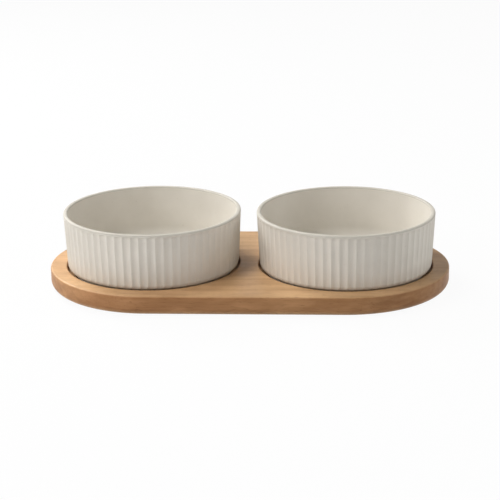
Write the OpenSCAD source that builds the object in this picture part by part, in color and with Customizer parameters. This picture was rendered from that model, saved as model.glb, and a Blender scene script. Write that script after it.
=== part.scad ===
// Double pet bowl: two fluted stoneware bowls that stand in round seats milled into a wooden
// board with half-round ends. The board stands on six stick-on rubber feet.
// +X runs to the right along the board, +Y to the back, +Z up.
// The origin is the middle of the footprint, on the surface that the feet stand on.

/* [Bowls] */
// Outer diameter at the rim, over the lands between the flutes
rim_d = 150; // [146:1:154]
// Outer diameter that the leaning wall would have if it ran straight down to the foot's level
base_d = 145; // [142:0.5:146]
// Height from the foot ring's underside to the rim
bowl_h = 51.6; // [40:0.1:70]
// Thickness of the wall, measured over the lands
wall_t = 3.6; // [3.2:0.1:6]
// Thickness of the floor
floor_t = 5; // [4:0.1:8]
// Radius between the inner wall and the floor
inner_fillet_r = 10; // [5:0.5:15]
// Rounding of the rim's outer and inner edge
lip_r = 1.4; // [0.8:0.1:1.5]
// Rounding between the outer wall and the underside
heel_r = 5; // [3:0.5:6]
// Height of the foot ring under that rounding
foot_ring_h = 3; // [2:0.1:4]
// Width of the foot ring
foot_ring_w = 6; // [4:0.5:12]
// Depth of the hollow inside the foot ring
foot_hollow_h = 1.2; // [0.5:0.1:1.8]
// Chamfer of the foot ring's outer lower edge
foot_chamfer = 0.5; // [0.3:0.1:1]

/* [Flutes] */
// Number of flutes round a bowl
flute_count = 69; // [40:1:72]
// Depth of a flute
flute_depth = 0.8; // [0.4:0.1:1.2]
// Radius of the round cutter that makes a flute
flute_cutter_r = 6.5; // [5:0.1:7.3]
// Height of the plain band between the flutes and the rim
plain_band_h = 1.6; // [1.6:0.1:10]
// Height over which a flute runs out under the plain band
flute_runout_h = 1.2; // [1:0.1:6]
// Angle of one flute's middle on the left bowl
flute_start_left = -89.9; // [-180:0.1:180]
// Angle of one flute's middle on the right bowl
flute_start_right = -91.7; // [-180:0.1:180]

/* [Board] */
// Gap between the two bowls' rims
bowl_gap = 13.4; // [8:0.1:50]
// Thickness of the board
board_t = 16.5; // [14:0.5:24]
// Depth of the round seats
seat_depth = 5; // [3:0.5:6]
// Gap between a seat and the line of the bowl's leaning wall, taken at the board's top
seat_gap = 0.4; // [0.3:0.1:2]
// Rounding of a seat's top edge
seat_edge_r = 1.6; // [0.4:0.1:2]
// Wood between a seat and the board's long sides
side_margin = 15.8; // [12:0.1:30]
// Wood between a seat and the board's ends
end_margin = 14.4; // [10:0.1:15]
// Rounding of the top edge
top_edge_r = 1.5; // [0.5:0.1:3]
// Rounding of the bottom edge
bottom_edge_r = 6; // [1:0.5:8]

/* [Feet] */
// Diameter of a rubber foot
pad_d = 12; // [8:0.5:14]
// Height of a rubber foot
pad_h = 2; // [1.2:0.1:4]
// Rounding of a foot's lower edge
pad_edge_r = 0.6; // [0.2:0.1:0.8]
// Distance from the board's long side to a foot's centre
pad_inset = 24; // [16:0.5:30]
// Distance between the left and the right feet's centres
pad_pitch = 180; // [150:1:230]

/* [Hidden] */
$fn = 96;
// How far a cut runs past the face that it opens
overrun = 1;
// How much smaller the end of a flute's runout is than what would just graze the wall
runout_clear = 0.4;
// Least gap between the tools that cut two flutes side by side
tool_gap = 0.1;
// Steps in a large and in a small rounding
arc_steps = 10;
small_arc_steps = 5;

wood = [0.72, 0.53, 0.36];
glaze = [0.84, 0.82, 0.77];
rubber = [0.2, 0.19, 0.18];

rim_r = rim_d / 2;
base_r = base_d / 2;
wall_slope = (rim_r - base_r) / bowl_h;
wall_tilt = atan(wall_slope);
// Height of the cavity's floor over the surface that the bowl stands on
cavity_z = foot_hollow_h + floor_t;

bowl_pitch = rim_d + bowl_gap;
seat_r = base_r + wall_slope * seat_depth + seat_gap;
board_w = 2 * (seat_r + side_margin);
board_l = bowl_pitch + 2 * (seat_r + end_margin);
end_r = board_w / 2;
end_x = board_l / 2 - end_r;
bowl_x = bowl_pitch / 2;

board_z = pad_h;
board_top_z = board_z + board_t;
seat_z = board_top_z - seat_depth;

pad_y = board_w / 2 - pad_inset;
pad_x = pad_pitch / 2;

// Outer radius of a bowl's leaning wall at a height over the surface that it stands on
function wall_r(z) = base_r + wall_slope * z;

// Points of an arc round a centre, from one angle to another
function arc(centre, r, from, to, steps) = [
    for (i = [0 : steps])
        centre + r * [cos(from + (to - from) * i / steps), sin(from + (to - from) * i / steps)]
];

// Half of the board's cross-section, from its middle to its outer edge
module board_section() {
    polygon(concat(
        [[0, 0]],
        arc([end_r - bottom_edge_r, bottom_edge_r], bottom_edge_r, -90, 0, arc_steps),
        arc([end_r - top_edge_r, board_t - top_edge_r], top_edge_r, 0, 90, small_arc_steps),
        [[0, board_t]]
    ));
}

// Right-hand end of the board
module board_end() {
    translate([end_x, 0, 0]) rotate([0, 0, -90]) rotate_extrude(angle = 180) board_section();
}

// Straight middle of the board, the back half of it
module board_middle() {
    translate([-end_x, 0, 0]) rotate([90, 0, 90]) linear_extrude(2 * end_x) board_section();
}

// Round seat with its rounded top edge, as the tool that cuts it
module seat_cut() {
    edge_r = seat_r + seat_edge_r;
    rotate_extrude() polygon(concat(
        [[0, board_t - seat_depth], [seat_r, board_t - seat_depth]],
        arc([edge_r, board_t - seat_edge_r], seat_edge_r, 180, 90, small_arc_steps),
        [[edge_r, board_t + overrun], [0, board_t + overrun]]
    ));
}

module board() {
    color(wood) translate([0, 0, board_z]) difference() {
        union() {
            board_middle();
            mirror([0, 1, 0]) board_middle();
            board_end();
            mirror([1, 0, 0]) board_end();
        }
        for (side = [-1, 1]) {
            translate([side * bowl_x, 0, 0]) seat_cut();
        }
    }
}

// Half of a bowl's section: foot ring, rounded heel, outer wall, rim, inner wall and floor
module bowl_section() {
    lip_z = bowl_h - lip_r;
    lip_out_r = wall_r(lip_z) - lip_r;
    lip_in_r = wall_r(lip_z) - wall_t + lip_r;
    fillet_z = cavity_z + inner_fillet_r;
    fillet_c_r = wall_r(fillet_z) - wall_t - inner_fillet_r;
    heel_z = foot_ring_h + heel_r;
    foot_r = wall_r(heel_z) - heel_r;
    hollow_r = foot_r - foot_ring_w;
    polygon(concat(
        [[0, foot_hollow_h], [hollow_r - foot_hollow_h, foot_hollow_h], [hollow_r, 0]],
        [[foot_r - foot_chamfer, 0], [foot_r, foot_chamfer]],
        arc([foot_r, heel_z], heel_r, -90, 0, arc_steps),
        arc([lip_out_r, lip_z], lip_r, 0, 90, small_arc_steps),
        arc([lip_in_r, lip_z], lip_r, 90, 180, small_arc_steps),
        arc([fillet_c_r, fillet_z], inner_fillet_r, 0, -90, arc_steps),
        [[0, cavity_z]]
    ));
}

// Tool that cuts one flute: it leans with the wall, runs out to a point below the rim and is
// only as wide as leaves it clear of the tool that cuts the next flute
module flute_cut() {
    flute_top = (bowl_h - plain_band_h - flute_runout_h) / cos(wall_tilt);
    end_cut_r = flute_cutter_r - flute_depth - runout_clear;
    tool_w = 2 * (base_r - flute_depth) * sin(180 / flute_count) - tool_gap;
    translate([base_r + flute_cutter_r - flute_depth, 0, 0]) rotate([0, wall_tilt, 0])
        intersection() {
            union() {
                translate([0, 0, -overrun]) cylinder(h = flute_top + overrun, r = flute_cutter_r);
                translate([0, 0, flute_top])
                    cylinder(h = flute_runout_h, r1 = flute_cutter_r, r2 = end_cut_r);
            }
            translate([-flute_cutter_r - overrun, -tool_w / 2, -2 * overrun])
                cube([flute_depth + 2 * overrun, tool_w, flute_top + flute_runout_h + 3 * overrun]);
        }
}

// A bowl that stands at the origin, with one flute's middle at the given angle
module bowl(flute_start) {
    difference() {
        rotate_extrude() bowl_section();
        for (i = [0 : flute_count - 1]) {
            rotate([0, 0, flute_start + 360 * i / flute_count]) flute_cut();
        }
    }
}

module bowl_left() {
    color(glaze) translate([-bowl_x, 0, seat_z]) bowl(flute_start_left);
}

module bowl_right() {
    color(glaze) translate([bowl_x, 0, seat_z]) bowl(flute_start_right);
}

// One stick-on rubber foot, its lower edge rounded
module pad() {
    pad_r = pad_d / 2;
    color(rubber) rotate_extrude() polygon(concat(
        [[0, 0]],
        arc([pad_r - pad_edge_r, pad_edge_r], pad_edge_r, -90, 0, small_arc_steps),
        [[pad_r, pad_h], [0, pad_h]]
    ));
}

module foot_front_left() {
    translate([-pad_x, -pad_y, 0]) pad();
}

module foot_front_middle() {
    translate([0, -pad_y, 0]) pad();
}

module foot_front_right() {
    translate([pad_x, -pad_y, 0]) pad();
}

module foot_back_left() {
    translate([-pad_x, pad_y, 0]) pad();
}

module foot_back_middle() {
    translate([0, pad_y, 0]) pad();
}

module foot_back_right() {
    translate([pad_x, pad_y, 0]) pad();
}

board();
bowl_left();
bowl_right();
foot_front_left();
foot_front_middle();
foot_front_right();
foot_back_left();
foot_back_middle();
foot_back_right();
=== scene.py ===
import math

import bmesh
import bpy
from mathutils import Matrix, Vector
from mathutils.geometry import tessellate_polygon


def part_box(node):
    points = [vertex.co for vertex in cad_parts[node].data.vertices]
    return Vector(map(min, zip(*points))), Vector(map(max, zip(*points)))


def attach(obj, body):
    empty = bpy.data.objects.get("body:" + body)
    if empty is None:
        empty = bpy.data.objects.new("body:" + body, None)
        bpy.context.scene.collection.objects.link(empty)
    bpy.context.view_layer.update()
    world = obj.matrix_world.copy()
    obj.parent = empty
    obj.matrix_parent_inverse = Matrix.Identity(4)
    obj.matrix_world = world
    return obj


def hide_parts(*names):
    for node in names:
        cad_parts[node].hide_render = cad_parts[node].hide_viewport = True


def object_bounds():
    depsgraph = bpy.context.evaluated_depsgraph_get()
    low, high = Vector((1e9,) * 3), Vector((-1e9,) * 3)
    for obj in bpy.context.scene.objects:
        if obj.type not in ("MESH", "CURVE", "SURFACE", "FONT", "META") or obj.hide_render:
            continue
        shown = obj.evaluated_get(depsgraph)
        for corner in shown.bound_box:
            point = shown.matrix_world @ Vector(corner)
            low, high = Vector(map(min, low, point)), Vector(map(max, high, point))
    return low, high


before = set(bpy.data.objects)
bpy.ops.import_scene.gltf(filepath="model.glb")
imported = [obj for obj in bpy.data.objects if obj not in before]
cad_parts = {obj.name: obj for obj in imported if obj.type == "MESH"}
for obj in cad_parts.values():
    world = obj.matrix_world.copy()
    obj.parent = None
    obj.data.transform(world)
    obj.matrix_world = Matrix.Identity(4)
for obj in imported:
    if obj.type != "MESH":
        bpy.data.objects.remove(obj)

CAD_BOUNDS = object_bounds()
MM = 0.001

# Sizes that the CAD model has too, in millimetres
WALL_T = 3.6
FLOOR_T = 5.0
INNER_FILLET_R = 10.0
LIP_R = 1.4
BASE_D = 145.0
HEEL_R = 5.0
FOOT_RING_H = 3.0
FOOT_RING_W = 6.0
FOOT_HOLLOW_H = 1.2
FOOT_CHAMFER = 0.5
FLUTE_COUNT = 69
FLUTE_DEPTH = 0.8
FLUTE_CUTTER_R = 6.5
PLAIN_BAND_H = 1.6
FLUTE_RUNOUT_H = 1.2
SEAT_DEPTH = 5.0
SEAT_GAP = 0.4
SEAT_EDGE_R = 1.6
TOP_EDGE_R = 1.5
BOTTOM_EDGE_R = 6.0
# Angle of one flute's middle, in degrees
FLUTE_START = {"bowl_left": -89.9, "bowl_right": -91.7}

# How soft the glaze makes the flutes' edges, in millimetres
FLUTE_SOFT = 0.12
# How far a flute's depth has fallen at the end of its runout, as a share of the depth
RUNOUT_FALL_SHARE = 1.6
# Widths of the narrow faces beside edges, which keep the shading crisp there, in millimetres
FOOT_BAND = 0.3
RING_TOP_BAND = 0.2
UNDER_BAND = 1.0
TOP_BAND = 0.5
SEAT_TOP_BAND = 0.4
SEAT_FLOOR_BAND = 0.5
# Chamfer in the corner between a seat's wall and its floor, in millimetres
SEAT_CORNER = 0.3
# Angle in degrees at which the heel's rounding starts, just off the foot ring's wall
HEEL_START = -87
# Faces that meet at a larger angle than this, in degrees, have a sharp edge
SHARP_ANGLE = 40

# Steps in the rounded stretches of the meshes
COLUMNS_PER_FLUTE = 14
HEEL_STEPS = 14
RUNOUT_STEPS = 8
LIP_STEPS = 7
INNER_WALL_STEPS = 3
FILLET_STEPS = 10
BOTTOM_EDGE_STEPS = 12
TOP_EDGE_STEPS = 8
SEAT_EDGE_STEPS = 8
BOARD_END_STEPS = 96
SEAT_STEPS = 192

# The photograph's camera, a pinhole fitted to the object's outlines: lengths in metres except
# where the name says pixels or millimetres, and angles in degrees
IMAGE_PX = 500
SENSOR_MM = 36.0
CAM_FOCAL_PX = 1547.677
CAM_DISTANCE = 1.31558
CAM_ELEVATION = 17.936
CAM_AZIMUTH = 3.109
CAM_ROLL = -0.713
CAM_TARGET = Vector((0.000668, 0.0, 0.029172))
CAM_CLIP = (0.05, 50.0)

# Lamps: azimuth and elevation in degrees, size in metres, power in watts
LAMP_DISTANCE = 1.7
LAMPS = {
    "key": (135.0, 35.0, 0.7, 16.5),
    "key_high": (135.0, 65.0, 0.7, 7.8),
    "left": (202.0, 20.0, 0.7, 7.0),
    "left_high": (202.0, 65.0, 0.7, 10.1),
    "left_front": (225.0, 35.0, 0.7, 6.7),
    "right_front": (315.0, 10.0, 1.0, 4.8),
    "right": (0.0, 10.0, 1.0, 3.3),
    "right_high": (0.0, 35.0, 1.0, 4.7),
}
# Strength of the world's light on the object
WORLD_LEVEL = 0.02
# Half of the floor's side, in metres, and its grey
FLOOR_REACH = 12.0
FLOOR_GREY = 0.70
# Share of plain white in what the camera sees of the floor: the rest is the floor's own shading
FLOOR_GLOW = 0.95

WHITE = (1.0, 1.0, 1.0)


def new_object(name, bm):
    """A smooth-shaded object made from a bmesh, sharp only where its faces meet at an angle."""
    bmesh.ops.recalc_face_normals(bm, faces=bm.faces[:])
    mesh = bpy.data.meshes.new(name)
    bm.to_mesh(mesh)
    bm.free()
    for polygon in mesh.polygons:
        polygon.use_smooth = True
    mesh.set_sharp_from_angle(angle=math.radians(SHARP_ANGLE))
    obj = bpy.data.objects.new(name, mesh)
    bpy.context.scene.collection.objects.link(obj)
    return obj


def ring_faces(bm, lower, upper):
    """Quads between two closed rings of the same number of vertices."""
    count = len(lower)
    faces = []
    for i in range(count):
        j = (i + 1) % count
        faces.append(bm.faces.new((lower[i], lower[j], upper[j], upper[i])))
    return faces


def arc_points(centre, radius, start, end, steps):
    """Points of an arc in a section, as (distance from the axis, height)."""
    points = []
    for i in range(steps + 1):
        a = math.radians(start + (end - start) * i / steps)
        points.append((centre[0] + radius * math.cos(a), centre[1] + radius * math.sin(a)))
    return points


def inner_points(start, end, steps):
    """Points between the two ends of a straight stretch."""
    points = []
    for i in range(1, steps):
        share = i / steps
        points.append((start[0] + (end[0] - start[0]) * share,
                       start[1] + (end[1] - start[1]) * share))
    return points


def circle(centre_x, radius, steps):
    """Points of a circle in plan, anticlockwise."""
    points = []
    for i in range(steps):
        a = 2 * math.pi * i / steps
        points.append((centre_x + radius * math.cos(a), radius * math.sin(a)))
    return points


def stadium(end_x, radius, steps):
    """Points of an outline with half-round ends, anticlockwise."""
    points = []
    for side, start in ((1, -90), (-1, 90)):
        for i in range(steps + 1):
            a = math.radians(start + 180 * i / steps)
            points.append((side * end_x + radius * math.cos(a), radius * math.sin(a)))
    return points


class Bowl:
    """Section and flutes of one bowl, in millimetres from the middle of its foot."""

    def __init__(self, node):
        low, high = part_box(node)
        self.node = node
        self.centre = Vector(((low.x + high.x) / 2, (low.y + high.y) / 2, low.z))
        self.height = (high.z - low.z) / MM
        self.lip_z = self.height - LIP_R
        self.base_r = BASE_D / 2
        box_r = (high.y - low.y) / 2 / MM
        self.slope = (box_r - self.base_r) / self.lip_z
        self.heel_z = FOOT_RING_H + HEEL_R
        self.foot_r = self.wall_r(self.heel_z) - HEEL_R
        self.cavity_z = FOOT_HOLLOW_H + FLOOR_T
        self.runout_z = self.height - PLAIN_BAND_H - FLUTE_RUNOUT_H
        self.seat_r = self.wall_r(SEAT_DEPTH) + SEAT_GAP

    def rim_z(self):
        """Height of the rim over the floor, in metres."""
        return self.centre.z + self.height * MM

    def wall_r(self, z):
        """Outer radius of the leaning wall at a height."""
        return self.base_r + self.slope * z

    def fluted_r(self, r, angle, z):
        """Radius at an angle in degrees and a height, where it is r before the flutes are cut."""
        pitch_deg = 360 / FLUTE_COUNT
        turn = (angle - FLUTE_START[self.node]) / pitch_deg
        across = (turn - round(turn)) * math.radians(pitch_deg) * self.wall_r(z)
        run = max(0.0, (z - self.runout_z) / FLUTE_RUNOUT_H)
        depth = FLUTE_DEPTH * (1 - RUNOUT_FALL_SHARE * run)
        half_w = math.sqrt(FLUTE_CUTTER_R ** 2 - (FLUTE_CUTTER_R - FLUTE_DEPTH) ** 2)
        cut = r - self.wall_r(z) + depth - FLUTE_DEPTH * (across / half_w) ** 2
        return r - (cut + math.hypot(cut, FLUTE_SOFT)) / 2

    def point(self, r, angle, z):
        """Place in metres of a point at a radius, an angle in degrees and a height."""
        a = math.radians(angle)
        return (self.centre.x + r * MM * math.cos(a),
                self.centre.y + r * MM * math.sin(a),
                self.centre.z + z * MM)

    def section(self):
        """Rows of (radius, height, fluted, glazed) from the middle of the underside round to
        the middle of the floor inside."""
        rows = []

        def add(points, fluted=False, glazed=True):
            for r, z in points:
                rows.append((r, z, fluted, glazed))

        hollow_r = self.foot_r - FOOT_RING_W
        recess_r = hollow_r - FOOT_HOLLOW_H
        recess_shares = (0.25, 0.6, 0.97, 1.0)
        add([(recess_r * share, FOOT_HOLLOW_H) for share in recess_shares])
        add([(hollow_r - FOOT_BAND, FOOT_BAND), (hollow_r, 0.0)])
        add([(hollow_r + FOOT_BAND, 0.0), (self.foot_r - FOOT_CHAMFER, 0.0)], glazed=False)
        add([(self.foot_r, FOOT_CHAMFER), (self.foot_r, FOOT_RING_H - RING_TOP_BAND)])

        heel_c = (self.foot_r, self.heel_z)
        add(arc_points(heel_c, HEEL_R, HEEL_START, 0, HEEL_STEPS), fluted=True)
        wall_shares = (0.25, 0.45, 0.65, 0.85, 0.97)
        heights = [self.runout_z * share for share in wall_shares]
        for i in range(RUNOUT_STEPS + 1):
            heights.append(self.runout_z + FLUTE_RUNOUT_H * i / RUNOUT_STEPS)
        add([(self.wall_r(z), z) for z in heights], fluted=True)

        out_c = (self.wall_r(self.lip_z) - LIP_R, self.lip_z)
        in_c = (self.wall_r(self.lip_z) - WALL_T + LIP_R, self.lip_z)
        add(arc_points(out_c, LIP_R, 0, 90, LIP_STEPS))
        add(arc_points(in_c, LIP_R, 90, 180, LIP_STEPS))

        fillet_z = self.cavity_z + INNER_FILLET_R
        fillet_c = (self.wall_r(fillet_z) - WALL_T - INNER_FILLET_R, fillet_z)
        wall_top = (in_c[0] - LIP_R, self.lip_z)
        wall_foot = (fillet_c[0] + INNER_FILLET_R, fillet_z)
        add(inner_points(wall_top, wall_foot, INNER_WALL_STEPS))
        add(arc_points(fillet_c, INNER_FILLET_R, 0, -90, FILLET_STEPS))
        floor_shares = (0.8, 0.5, 0.2)
        add([(fillet_c[0] * share, self.cavity_z) for share in floor_shares])
        return rows

    def build(self, glaze, bisque):
        """The bowl's mesh: its section turned round its axis, with the flutes cut in."""
        bm = bmesh.new()
        columns = FLUTE_COUNT * COLUMNS_PER_FLUTE
        rows = self.section()
        rings = []
        for r, z, fluted, _ in rows:
            ring = []
            for i in range(columns):
                angle = 360 * i / columns
                reach = self.fluted_r(r, angle, z) if fluted else r
                ring.append(bm.verts.new(self.point(reach, angle, z)))
            rings.append(ring)
        for i in range(len(rings) - 1):
            bare = not rows[i][3] or not rows[i + 1][3]
            for face in ring_faces(bm, rings[i], rings[i + 1]):
                face.material_index = 1 if bare else 0
        for ring, row in ((rings[0], rows[0]), (rings[-1], rows[-1])):
            middle = bm.verts.new(self.point(0.0, 0.0, row[1]))
            for i in range(columns):
                bm.faces.new((ring[i], ring[(i + 1) % columns], middle))
        obj = new_object(self.node + "_ceramic", bm)
        obj.data.materials.append(glaze)
        obj.data.materials.append(bisque)
        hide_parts(self.node)
        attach(obj, self.node)


def build_board(bowls, wood):
    """The board as one mesh: rounded edges outside, two round seats with eased edges in its top."""
    low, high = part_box("board")
    thick = (high.z - low.z) / MM
    radius = (high.y - low.y) / 2 / MM
    end_x = (high.x - low.x) / 2 / MM - radius
    bm = bmesh.new()

    def ring(points, z):
        return [bm.verts.new((x * MM, y * MM, low.z + z * MM)) for x, y in points]

    side = [(radius - BOTTOM_EDGE_R - UNDER_BAND, 0.0)]
    side += arc_points((radius - BOTTOM_EDGE_R, BOTTOM_EDGE_R), BOTTOM_EDGE_R, -90, 0,
                       BOTTOM_EDGE_STEPS)
    side += arc_points((radius - TOP_EDGE_R, thick - TOP_EDGE_R), TOP_EDGE_R, 0, 90,
                       TOP_EDGE_STEPS)
    side.append((radius - TOP_EDGE_R - TOP_BAND, thick))
    rings = [ring(stadium(end_x, r, BOARD_END_STEPS), z) for r, z in side]
    for lower, upper in zip(rings, rings[1:]):
        ring_faces(bm, lower, upper)
    bm.faces.new(rings[0])

    loops = [rings[-1]]
    seat_z = thick - SEAT_DEPTH
    for bowl in bowls:
        edge_r = bowl.seat_r + SEAT_EDGE_R
        floor_r = bowl.seat_r - SEAT_CORNER
        edge = [(edge_r + SEAT_TOP_BAND, thick)]
        edge += arc_points((edge_r, thick - SEAT_EDGE_R), SEAT_EDGE_R, 90, 180, SEAT_EDGE_STEPS)
        edge += [(bowl.seat_r, seat_z + SEAT_CORNER), (floor_r, seat_z)]
        edge.append((floor_r - SEAT_FLOOR_BAND, seat_z))
        centre_x = bowl.centre.x / MM
        seat_rings = [ring(circle(centre_x, r, SEAT_STEPS), z) for r, z in edge]
        for upper, lower in zip(seat_rings, seat_rings[1:]):
            ring_faces(bm, upper, lower)
        bm.faces.new(seat_rings[-1])
        loops.append(seat_rings[0])

    verts = [v for loop in loops for v in loop]
    for corners in tessellate_polygon([[v.co for v in loop] for loop in loops]):
        bm.faces.new([verts[i] for i in corners])
    obj = new_object("board_wood", bm)
    obj.data.materials.append(wood)
    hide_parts("board")
    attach(obj, "board")


class Nodes:
    """Short calls for building the node tree of a material or a world."""

    def __init__(self, owner):
        owner.use_nodes = True
        self.owner = owner
        self.tree = owner.node_tree

    def add(self, kind, **values):
        node = self.tree.nodes.new(kind)
        for key, value in values.items():
            setattr(node, key, value)
        return node

    def feed(self, value, socket):
        """Link an output to a socket, or set the socket to a plain value."""
        if isinstance(value, bpy.types.NodeSocket):
            self.tree.links.new(value, socket)
        else:
            socket.default_value = value

    def math(self, operation, a, b=0.0, c=0.0):
        node = self.add("ShaderNodeMath", operation=operation)
        for value, socket in zip((a, b, c), node.inputs):
            self.feed(value, socket)
        return node.outputs[0]

    def hypot(self, a, b):
        squares = self.math("ADD", self.math("MULTIPLY", a, a), self.math("MULTIPLY", b, b))
        return self.math("SQRT", squares)

    def coords(self, kind="Object"):
        return self.add("ShaderNodeTexCoord").outputs[kind]

    def split(self, vector):
        """The three components of a vector."""
        node = self.add("ShaderNodeSeparateXYZ")
        self.feed(vector, node.inputs[0])
        return node.outputs

    def stretched(self, scale, turn=(0.0, 0.0, 0.0)):
        """The object's own coordinates, scaled by a factor along each axis."""
        mapping = self.add("ShaderNodeMapping")
        mapping.inputs["Scale"].default_value = scale
        mapping.inputs["Rotation"].default_value = turn
        self.feed(self.coords(), mapping.inputs["Vector"])
        return mapping.outputs[0]

    def noise(self, vector, scale, detail=2.0, roughness=0.5):
        node = self.add("ShaderNodeTexNoise")
        self.feed(vector, node.inputs["Vector"])
        self.feed(scale, node.inputs["Scale"])
        self.feed(detail, node.inputs["Detail"])
        self.feed(roughness, node.inputs["Roughness"])
        return node.outputs["Fac"]

    def remap(self, value, from_low, from_high, to_low=0.0, to_high=1.0):
        node = self.add("ShaderNodeMapRange")
        self.feed(value, node.inputs["Value"])
        self.feed(from_low, node.inputs["From Min"])
        self.feed(from_high, node.inputs["From Max"])
        self.feed(to_low, node.inputs["To Min"])
        self.feed(to_high, node.inputs["To Max"])
        return node.outputs["Result"]

    def ramp(self, value, stops):
        """Colours from stops of (place, colour)."""
        node = self.add("ShaderNodeValToRGB")
        self.feed(value, node.inputs["Fac"])
        elements = node.color_ramp.elements
        while len(elements) < len(stops):
            elements.new(0.5)
        for element, (place, color) in zip(elements, stops):
            element.position = place
            element.color = (*color, 1.0)
        return node.outputs["Color"]

    def mix(self, blend, share, a, b):
        """Two colours blended; b may be three plain numbers."""
        node = self.add("ShaderNodeMix", data_type="RGBA", blend_type=blend)
        color_a, color_b = [s for s in node.inputs if s.type == "RGBA"]
        self.feed(share, node.inputs["Factor"])
        self.feed(a, color_a)
        self.feed((*b, 1.0) if isinstance(b, tuple) else b, color_b)
        return [s for s in node.outputs if s.type == "RGBA"][0]

    def shaded(self, color, share, shade):
        """A colour multiplied by a shade, as far as share says."""
        return self.mix("MULTIPLY", share, color, shade)

    def bump(self, height, distance, strength=1.0, normal=None):
        node = self.add("ShaderNodeBump")
        self.feed(distance, node.inputs["Distance"])
        self.feed(strength, node.inputs["Strength"])
        self.feed(height, node.inputs["Height"])
        if normal is not None:
            self.feed(normal, node.inputs["Normal"])
        return node.outputs["Normal"]

    def seen(self):
        """1 where the camera sees a surface, straight or in a mirror or glass, otherwise 0."""
        path = self.add("ShaderNodeLightPath")
        seen = self.math("MAXIMUM", path.outputs["Is Camera Ray"], path.outputs["Is Glossy Ray"])
        return self.math("MAXIMUM", seen, path.outputs["Is Transmission Ray"])

    def finish(self, color, roughness, normal=None, **sockets):
        """Feed the shader, with plain values for the sockets named, and give the material."""
        shader = self.tree.nodes["Principled BSDF"]
        self.feed(color, shader.inputs["Base Color"])
        self.feed(roughness, shader.inputs["Roughness"])
        if normal is not None:
            self.feed(normal, shader.inputs["Normal"])
        for name, value in sockets.items():
            shader.inputs[name.replace("_", " ")].default_value = value
        return self.owner


def axis_dist(n, x, y, bowl):
    """Distance in plan from the nearer bowl's axis."""
    return n.hypot(n.math("SUBTRACT", n.math("ABSOLUTE", x), abs(bowl.centre.x)), y)


def glaze_material(bowl, board_top_z):
    """Warm off-white satin glaze: cloudy colour, a few specks and a faint orange-peel surface.
    Painted shade makes it a little darker over the rim and a touch darker at the bottom inside,
    and a warm brown painted shade darkens the outside of the foot in and just above its seat."""
    n = Nodes(bpy.data.materials.new("satin_glaze"))
    here = n.coords()
    x, y, z = n.split(here)
    cloud = n.noise(here, 28.0, 3.0, 0.55)
    color = n.ramp(cloud, [(0.3, (0.655, 0.615, 0.545)), (0.7, (0.71, 0.67, 0.60))])
    specks = n.noise(here, 900.0, 1.0, 0.4)
    color = n.mix("MIX", n.remap(specks, 0.73, 0.80, 0.0, 0.35), color, (0.38, 0.32, 0.25))

    # Heights between which each painted shade on the glaze fades in, from none to full
    lip = LIP_R * MM
    rim_from, rim_to = bowl.rim_z() - 1.2 * lip, bowl.rim_z() - 0.7 * lip
    # Painted shade: the glaze a little darker over the rim, toning down the light on the lip
    color = n.shaded(color, n.remap(z, rim_from, rim_to), (0.75, 0.745, 0.725))

    mid_r_below = (bowl.base_r - WALL_T / 2) * MM - bowl.slope * bowl.centre.z
    mid_r = n.math("MULTIPLY_ADD", z, bowl.slope, mid_r_below)
    outside = n.remap(n.math("SUBTRACT", axis_dist(n, x, y, bowl), mid_r), -MM, MM)
    # Painted shade: warm brown on the outside of the foot, in the seat and just above it, darkening
    # the seam
    seam_shade_to, seam_shade_from = board_top_z - 1.5 * MM, board_top_z + 3.0 * MM
    seam_shade_share = n.remap(z, seam_shade_to, seam_shade_from, 1.0, 0.0)
    color = n.shaded(color, n.math("MULTIPLY", seam_shade_share, outside), (0.66, 0.50, 0.33))

    # Painted shade: the glaze a touch darker at the bottom inside
    bottom_shade_to = bowl.centre.z + bowl.cavity_z * MM
    bottom_shade_from = bottom_shade_to + 1.5 * INNER_FILLET_R * MM
    inside = n.math("SUBTRACT", 1.0, outside)
    bottom_shade_share = n.math("MULTIPLY", n.remap(z, bottom_shade_to, bottom_shade_from, 1.0, 0.0), inside)
    color = n.shaded(color, bottom_shade_share, (0.92, 0.92, 0.91))

    roughness = n.remap(n.noise(here, 60.0, 3.0), 0.3, 0.7, 0.50, 0.60)
    normal = n.bump(n.noise(here, 420.0, 2.0), 0.00004)
    normal = n.bump(cloud, 0.0004, 0.5, normal)
    return n.finish(color, roughness, normal, IOR=1.45, Specular_IOR_Level=0.45)


def bisque_material():
    """Bare fired clay of the foot ring: sandy and matte."""
    n = Nodes(bpy.data.materials.new("bare_clay"))
    grain = n.noise(n.coords(), 1500.0, 3.0, 0.7)
    color = n.ramp(grain, [(0.3, (0.42, 0.34, 0.26)), (0.7, (0.58, 0.49, 0.39))])
    return n.finish(color, 0.92, n.bump(grain, 0.0001))


def growth_rings(n, y, z):
    """Shade of the growth rings round a pith below the board, bent by slow noise."""
    pith_y, pith_z = 0.035, -0.085
    warp_y = n.noise(n.stretched((3.2, 16.0, 16.0)), 1.0)
    warp_z = n.noise(n.stretched((2.1, 9.0, 14.0), (0.4, 0.0, 0.0)), 1.0)
    bend_y, bend_z = 0.045, 0.05
    dy = n.math("ADD", n.math("SUBTRACT", y, pith_y), n.math("MULTIPLY", warp_y, bend_y))
    dz = n.math("ADD", n.math("SUBTRACT", z, pith_z), n.math("MULTIPLY", warp_z, bend_z))
    ring_w = 0.0046
    phase = n.math("FRACT", n.math("DIVIDE", n.hypot(dy, dz), ring_w))
    return n.ramp(phase, [(0.0, (0.80, 0.78, 0.75)), (0.15, WHITE),
                          (0.7, (0.88, 0.87, 0.85)), (0.97, (0.66, 0.62, 0.57))])


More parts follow.
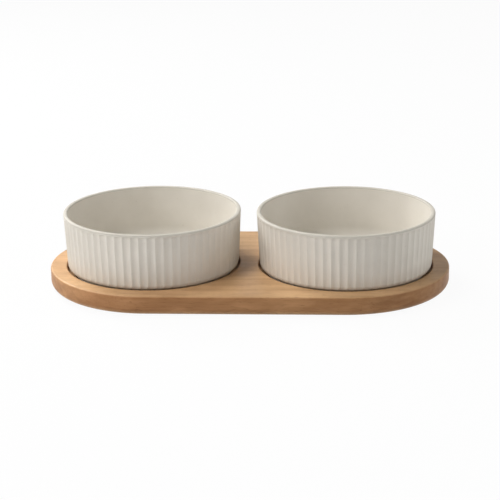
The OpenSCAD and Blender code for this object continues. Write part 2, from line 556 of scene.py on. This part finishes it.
def seat_wall_shade_share(n, x, y, z, bowl):
    """Share of the painted shade on the seats' walls: 1 on the walls, fading out over their edges
    and on their floors.
    """
    dist = axis_dist(n, x, y, bowl)
    seat_r, edge = bowl.seat_r * MM, SEAT_EDGE_R * MM
    out_share = n.remap(dist, seat_r + 0.2 * edge, seat_r + edge, 1.0, 0.0)
    in_share = n.remap(dist, seat_r - 2.0 * edge, seat_r - 0.2 * edge)
    low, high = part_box("board")
    # Keeps the shade off the board's underside
    above = n.math("GREATER_THAN", z, (low.z + high.z) / 2)
    return n.math("MULTIPLY", n.math("MULTIPLY", out_share, in_share), above)


def wood_material(bowl):
    """Oiled solid wood, its grain along X: growth rings, soft blotches, flames, streaks, fibres
    and short dark pores. Painted shade darkens it a little towards the board's right end, makes
    the upright sides darker than the flat faces, and makes the seats' walls darkest."""
    n = Nodes(bpy.data.materials.new("oiled_wood"))
    x, y, z = n.split(n.coords())
    # 1 on the flat faces, 0 on the upright sides
    flat = n.math("ABSOLUTE", n.split(n.coords("Normal"))[2])

    patch = n.noise(n.stretched((6.0, 22.0, 30.0)), 1.0)
    blotch = n.noise(n.stretched((26.0, 80.0, 150.0)), 1.0, 2.0, 0.6)
    flame = n.noise(n.stretched((34.0, 60.0, 100.0), (0.0, 0.7, 0.0)), 1.0, 2.0, 0.6)
    streak = n.noise(n.stretched((4.0, 120.0, 120.0)), 1.0, 4.0, 0.6)
    fibre = n.noise(n.stretched((30.0, 1400.0, 1400.0)), 1.0, 3.0, 0.6)
    pore = n.noise(n.stretched((180.0, 2600.0, 2600.0)), 1.0, 0.0)

    color = n.ramp(patch, [(0.3, (0.63, 0.38, 0.193)), (0.7, (0.73, 0.47, 0.248))])
    color = n.shaded(color, 0.22, growth_rings(n, y, z))
    color = n.shaded(color, 0.45, n.ramp(blotch, [(0.36, (0.72, 0.66, 0.60)), (0.60, WHITE)]))
    flame_share = n.remap(flat, 0.25, 0.85, 0.60, 0.20)
    color = n.shaded(color, flame_share, n.ramp(flame, [(0.40, (0.70, 0.64, 0.58)), (0.60, WHITE)]))
    color = n.shaded(color, 0.30, n.ramp(streak, [(0.32, (0.76, 0.71, 0.66)), (0.62, WHITE)]))
    color = n.shaded(color, 0.35, n.ramp(fibre, [(0.3, (0.80, 0.77, 0.73)), (0.7, WHITE)]))
    color = n.mix("MIX", n.remap(pore, 0.68, 0.78, 0.0, 0.5), color, (0.16, 0.085, 0.04))

    # Painted shade: the upright sides darker than the flat faces
    color = n.shaded(color, 1.0, n.ramp(flat, [(0.25, (0.80, 0.68, 0.60)), (0.85, WHITE)]))
    # Painted shade: the wood darker towards the board's right end
    half_l = CAD_BOUNDS[1][0]
    along = n.remap(x, -half_l, half_l)
    color = n.shaded(color, 1.0, n.ramp(along, [(0.0, WHITE), (1.0, (0.76, 0.75, 0.73))]))
    # Painted shade: darkest on the seats' walls, in the gap round the bowls' feet
    color = n.shaded(color, seat_wall_shade_share(n, x, y, z, bowl), (0.42, 0.31, 0.20))

    roughness = n.remap(streak, 0.3, 0.7, 0.50, 0.40)
    return n.finish(color, roughness, n.bump(fibre, 0.00006), Specular_IOR_Level=0.2)


def rubber_material():
    """Dark matte rubber with a fine grain."""
    n = Nodes(bpy.data.materials.new("foot_rubber"))
    grain = n.noise(n.coords(), 2200.0)
    color = n.ramp(grain, [(0.3, (0.030, 0.029, 0.028)), (0.7, (0.042, 0.040, 0.038))])
    return n.finish(color, n.remap(grain, 0.3, 0.7, 0.72, 0.85), n.bump(grain, 0.00005))


def floor_material():
    """Plain pale floor that the camera and mirrors see as white, with a soft shadow kept."""
    n = Nodes(bpy.data.materials.new("pale_floor"))
    diffuse = n.add("ShaderNodeBsdfDiffuse")
    diffuse.inputs["Color"].default_value = (FLOOR_GREY, FLOOR_GREY, FLOOR_GREY, 1.0)
    glow = n.add("ShaderNodeEmission")
    glow.inputs["Color"].default_value = (*WHITE, 1.0)
    blend = n.add("ShaderNodeMixShader")
    n.feed(n.math("MULTIPLY", n.seen(), FLOOR_GLOW), blend.inputs["Fac"])
    n.feed(diffuse.outputs[0], blend.inputs[1])
    n.feed(glow.outputs[0], blend.inputs[2])
    n.tree.nodes.remove(n.tree.nodes["Principled BSDF"])
    n.feed(blend.outputs[0], n.tree.nodes["Material Output"].inputs["Surface"])
    return n.owner


def dress_feet(rubber):
    """Give the CAD model's own feet their rubber."""
    for name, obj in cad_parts.items():
        if name.startswith("foot_"):
            obj.data.materials.clear()
            obj.data.materials.append(rubber)


def build_floor():
    bm = bmesh.new()
    bmesh.ops.create_grid(bm, x_segments=1, y_segments=1, size=FLOOR_REACH)
    floor = new_object("floor", bm)
    floor.data.materials.append(floor_material())


def direction(azimuth, elevation):
    """Unit vector towards an azimuth, counted from +X, and an elevation, both in degrees."""
    turn, rise = math.radians(azimuth), math.radians(elevation)
    return Vector((math.cos(rise) * math.cos(turn), math.cos(rise) * math.sin(turn),
                   math.sin(rise)))


def build_lights():
    """Round soft lamps about the object and a weak even world."""
    for name, (azimuth, elevation, size, power) in LAMPS.items():
        light = bpy.data.lights.new("lamp_" + name, "AREA")
        light.shape = "DISK"
        light.size = size
        light.energy = power
        lamp = bpy.data.objects.new("lamp_" + name, light)
        bpy.context.scene.collection.objects.link(lamp)
        toward = direction(azimuth, elevation)
        lamp.location = CAM_TARGET + LAMP_DISTANCE * toward
        lamp.rotation_euler = (-toward).to_track_quat("-Z", "Y").to_euler()
    n = Nodes(bpy.data.worlds.new("studio"))
    bpy.context.scene.world = n.owner
    background = n.tree.nodes["Background"]
    background.inputs["Color"].default_value = (*WHITE, 1.0)
    n.feed(n.remap(n.seen(), 0.0, 1.0, WORLD_LEVEL, 1.0), background.inputs["Strength"])


def build_camera():
    """The photograph's camera, turned about its target and rolled a little."""
    back = direction(CAM_AZIMUTH - 90, CAM_ELEVATION)
    right = (-back).cross(Vector((0.0, 0.0, 1.0))).normalized()
    up = right.cross(-back)
    roll = math.radians(CAM_ROLL)
    right_rolled = right * math.cos(roll) + up * math.sin(roll)
    up_rolled = up * math.cos(roll) - right * math.sin(roll)
    data = bpy.data.cameras.new("camera")
    data.sensor_fit = "HORIZONTAL"
    data.sensor_width = SENSOR_MM
    data.lens = CAM_FOCAL_PX / IMAGE_PX * SENSOR_MM
    data.clip_start, data.clip_end = CAM_CLIP
    camera = bpy.data.objects.new("camera", data)
    bpy.context.scene.collection.objects.link(camera)
    axes = Matrix((right_rolled, up_rolled, back)).transposed()
    place = CAM_TARGET + back * CAM_DISTANCE
    camera.matrix_world = Matrix.Translation(place) @ axes.to_4x4()
    bpy.context.scene.camera = camera


bpy.context.scene.view_settings.view_transform = "Standard"
build_camera()
bowls = [Bowl("bowl_left"), Bowl("bowl_right")]
glaze, bisque = glaze_material(bowls[0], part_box("board")[1].z), bisque_material()
for each_bowl in bowls:
    each_bowl.build(glaze, bisque)
build_board(bowls, wood_material(bowls[0]))
dress_feet(rubber_material())
build_floor()
build_lights()
